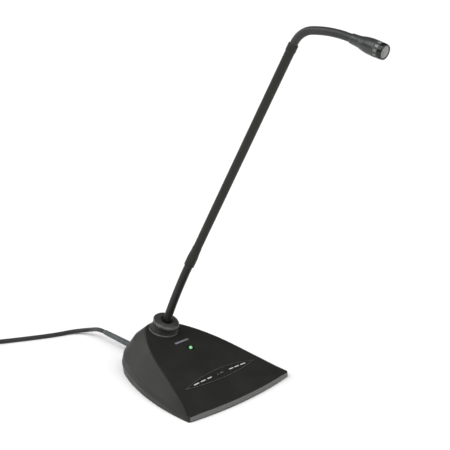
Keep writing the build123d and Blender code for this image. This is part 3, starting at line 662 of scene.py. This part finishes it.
cord_curve = bpy.data.curves.new("cord", "CURVE")
cord_curve.dimensions = "3D"
cord_curve.bevel_depth = CORD_RADIUS * MM
cord_curve.bevel_resolution = 6
cord_curve.resolution_u = 6
cord_curve.use_fill_caps = True
spline = cord_curve.splines.new("NURBS")
spline.points.add(len(cord_points) - 1)
for control, point in zip(spline.points, cord_points):
    control.co = (*point, 1.0)
spline.order_u = 3
spline.use_endpoint_u = True
cord = bpy.data.objects.new("cord", cord_curve)
bpy.context.scene.collection.objects.link(cord)
paint(cord, "cord_rubber")
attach(cord, "base")
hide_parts("cord_cable", "cord_coil", "cord_tail")

# The relief is a ribbed sleeve that thins towards its tip.
RELIEF_ROOT = 3.6
RELIEF_END = 3.0
RIB_PITCH = 3.1
RIB_EDGE = 0.12  # how far a rib's corners are rounded off
GROOVE_DEPTH = 0.6
relief_profile = [(0.5, -5.6), (6.0, -5.6), (6.0, -4.0), (3.7, -4.0), (3.7, 1.2)]
distance = 1.6
while distance + RIB_PITCH < RELIEF_LENGTH - 2:
    outer = RELIEF_ROOT - (RELIEF_ROOT - RELIEF_END) * distance / RELIEF_LENGTH
    groove = outer - GROOVE_DEPTH
    relief_profile += [
        (outer, distance),
        (outer, distance + 1.75),
        (outer - RIB_EDGE, distance + 1.9),
        (groove, distance + 2.0),
        (groove, distance + 2.85),
        (outer - RIB_EDGE, distance + 2.95),
    ]
    distance += RIB_PITCH
relief_profile += [
    (3.02, distance),
    (2.98, RELIEF_LENGTH - 0.4),
    (2.8, RELIEF_LENGTH),
    (2.0, RELIEF_LENGTH),
]
CREASE = math.radians(50)  # edges sharper than this are shaded sharp
relief_mesh = bmesh.new()
turned(relief_mesh, relief_start, relief_axis, relief_profile)
relief = link_mesh("strain_relief_ribbed", relief_mesh, "relief_rubber", "base")
relief.modifiers.new("edges", "EDGE_SPLIT").split_angle = CREASE
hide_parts("strain_relief")

# The plug's boot has moulded rings and the shell's CAD solid stays.
boot_run, boot_height = TAIL_RUNS[-2]
boot_origin = tail_point + tail_heading * boot_run * MM + route_point(0, 0, boot_height)
BOOT_RINGS = 7
BOOT_RING_PITCH = 2.6
BOOT_RING_GROWTH = 0.42
boot_profile = [(2.75, 0), (3.3, 0), (3.6, 0.6)]
for boot_ring in range(BOOT_RINGS):
    start = 2.0 + boot_ring * BOOT_RING_PITCH
    outer = 3.7 + BOOT_RING_GROWTH * boot_ring
    groove = outer - GROOVE_DEPTH
    boot_profile += [
        (outer, start),
        (outer + 0.1, start + 1.5),
        (groove, start + 1.7),
        (groove, start + 2.3),
    ]
boot_profile += [(6.9, 20.4), (7.7, 22.5), (7.9, 26.0), (2.75, 26.0)]
boot_mesh = bmesh.new()
turned(boot_mesh, boot_origin, tail_heading, boot_profile)
boot = link_mesh("plug_boot_ringed", boot_mesh, "relief_rubber", "base")
boot.modifiers.new("edges", "EDGE_SPLIT").split_angle = CREASE
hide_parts("plug_boot")


# ------------------------------------------------------------------ goosenecks
DOME_STEPS = 5
STEPS_PER_RIB = 6
RIB_ROUNDNESS = 0.6  # under 1, so that the ribs are broad and the grooves narrow
SLEEVE_SIDES = 40


def wound_sleeve(start, end, radius, pitch, depth, round_start, round_end):
    """Length of wound metal sleeve on the stem, with a rib for each turn and its jointed ends domed."""
    count = max(2, round((end - start) / pitch)) * STEPS_PER_RIB
    core = radius - depth
    stations = []
    for step in range(count + 1):
        centre, direction = stem_at(start + (end - start) * step / count)
        rib = abs(math.sin(math.pi * step / STEPS_PER_RIB)) ** RIB_ROUNDNESS
        stations.append((centre, direction, core + depth * rib))
    for joint_end, wanted, sign in ((start, round_start, -1), (end, round_end, 1)):
        if not wanted:
            continue
        centre, direction = stem_at(joint_end)
        for step in range(1, DOME_STEPS + 1):
            angle = math.pi / 2 * step / (DOME_STEPS + 1)
            middle = centre + direction * sign * core * math.sin(angle) * MM
            station = (middle, direction, core * math.cos(angle))
            stations.insert(0 if sign < 0 else len(stations), station)
    mesh = bmesh.new()
    rings = [ring(mesh, centre, direction, here * MM, SLEEVE_SIDES) for centre, direction, here in stations]
    rings_to_faces(mesh, rings)
    return mesh


# Where the joints are along the stem, in millimetres, and the bodies between them.
LOWER_JOINTS = [24.0, 40.0, 56.0, 72.0, 88.0]
LOWER_BODIES = ["base", "lower_link_1", "lower_link_2", "lower_link_3", "lower_link_4", "tube"]
UPPER_JOINTS = [368.0, 376.0, 384.0, 392.0, 401.0, 410.0, 419.0, 428.0]
UPPER_BODIES = ["tube", *[f"upper_link_{index}" for index in range(1, 8)], "head"]


def gooseneck(label, joints, bodies, low, high, radius, pitch, depth, material):
    """One sleeve for each link, round about its joints so that no gap opens when they bend."""
    ends = [low, *joints, high]
    for index, body in enumerate(bodies):
        start, end = ends[index], ends[index + 1]
        mesh = wound_sleeve(start, end, radius, pitch, depth, index > 0, index < len(joints))
        sleeve = link_mesh(f"{label}_sleeve_{index}", mesh, "stem_paint", body, material=material)
        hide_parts(f"{label}_link_{index}")


gooseneck("lower", LOWER_JOINTS, LOWER_BODIES, 7.0, 96.0, 4.55, 1.6, 0.16, lower_wound_shaded)
gooseneck("upper", UPPER_JOINTS, UPPER_BODIES, 361.5, 438.0, 3.85, 1.4, 0.24, upper_wound_lit)

# ------------------------------------------------------------------ head: woven screen and grille
head_origin, head_axis = stem_at(HEAD_START)
head_right, head_up = across(head_axis)


def round_head(height, angle, radius):
    """Point beside the head's axis; lengths in millimetres."""
    spoke = head_right * math.cos(angle) + head_up * math.sin(angle)
    return head_origin + head_axis * height * MM + spoke * radius * MM


VENT_LOW = 26.7
VENT_HEIGHT = 31.6 - VENT_LOW
VENT_RADIUS = 6.60
VENT_WAVE = 0.10  # how far the wires weave in and out
VENT_WIRE = 0.13
VENT_COLUMNS = 44
VENT_ROWS = 7
STEPS_PER_ROW = 4
vent_steps = VENT_ROWS * STEPS_PER_ROW
weave = bmesh.new()
for column in range(VENT_COLUMNS):
    angle = 2 * math.pi * column / VENT_COLUMNS
    points = []
    for step in range(vent_steps + 1):
        bulge = VENT_RADIUS + VENT_WAVE * math.cos(math.pi * step / STEPS_PER_ROW + math.pi * column)
        points.append(round_head(VENT_LOW + VENT_HEIGHT * step / vent_steps, angle, bulge))
    wire(weave, points, VENT_WIRE * MM)
for row in range(VENT_ROWS):
    height = VENT_LOW + VENT_HEIGHT * (row + 0.5) / VENT_ROWS
    points = []
    for step in range(VENT_COLUMNS * 2):
        bulge = VENT_RADIUS - VENT_WAVE * math.cos(math.pi * step / 2 + math.pi * row)
        points.append(round_head(height, math.pi * step / VENT_COLUMNS, bulge))
    wire(weave, points, VENT_WIRE * MM, closed=True)
link_mesh("vent_weave", weave, "vent_mesh", "head", material=wire_metal)

GRILLE_SEAT = 35.3
GRILLE_RADIUS = 5.58
GRILLE_DOME = 1.0
GRILLE_SPACING = 0.55
GRILLE_WAVE = 0.07
GRILLE_WIRE = 0.11
net = bmesh.new()
lines = int(GRILLE_RADIUS / GRILLE_SPACING)
for along, sideways, flip in ((head_right, head_up, 0), (head_up, head_right, 1)):
    for line in range(-lines, lines + 1):
        offset = line * GRILLE_SPACING
        reach = math.sqrt(GRILLE_RADIUS**2 - offset**2)
        count = max(4, int(reach * 2 / GRILLE_SPACING * 3))
        points = []
        for step in range(count + 1):
            run = -reach + 2 * reach * step / count
            dome = GRILLE_DOME * (1 - (run**2 + offset**2) / GRILLE_RADIUS**2)
            weave_lift = GRILLE_WAVE * math.cos(math.pi * (run / GRILLE_SPACING + line + flip))
            middle = head_origin + head_axis * (GRILLE_SEAT + dome + weave_lift) * MM
            points.append(middle + along * run * MM + sideways * offset * MM)
        wire(net, points, GRILLE_WIRE * MM)
link_mesh("grille_weave", net, "grille_mesh", "head", material=wire_metal)

# ------------------------------------------------------------------ floor
FLOOR_REACH = 40.0  # metres each way
CORNERS = ((-1, -1), (1, -1), (1, 1), (-1, 1))
floor_mesh = bmesh.new()
floor_mesh.faces.new([floor_mesh.verts.new((x * FLOOR_REACH, y * FLOOR_REACH, 0.0)) for x, y in CORNERS])
floor_data = bpy.data.meshes.new("floor")
bmesh.ops.recalc_face_normals(floor_mesh, faces=floor_mesh.faces)
floor_mesh.to_mesh(floor_data)
floor_mesh.free()
floor = bpy.data.objects.new("floor", floor_data)
floor_surface = bpy.data.materials.new("floor_paper")
floor_surface.use_nodes = True
paper = floor_surface.node_tree.nodes["Principled BSDF"]
paper.inputs["Base Color"].default_value = (0.97, 0.97, 0.97, 1.0)
paper.inputs["Roughness"].default_value = 0.85
floor_data.materials.append(floor_surface)
bpy.context.scene.collection.objects.link(floor)
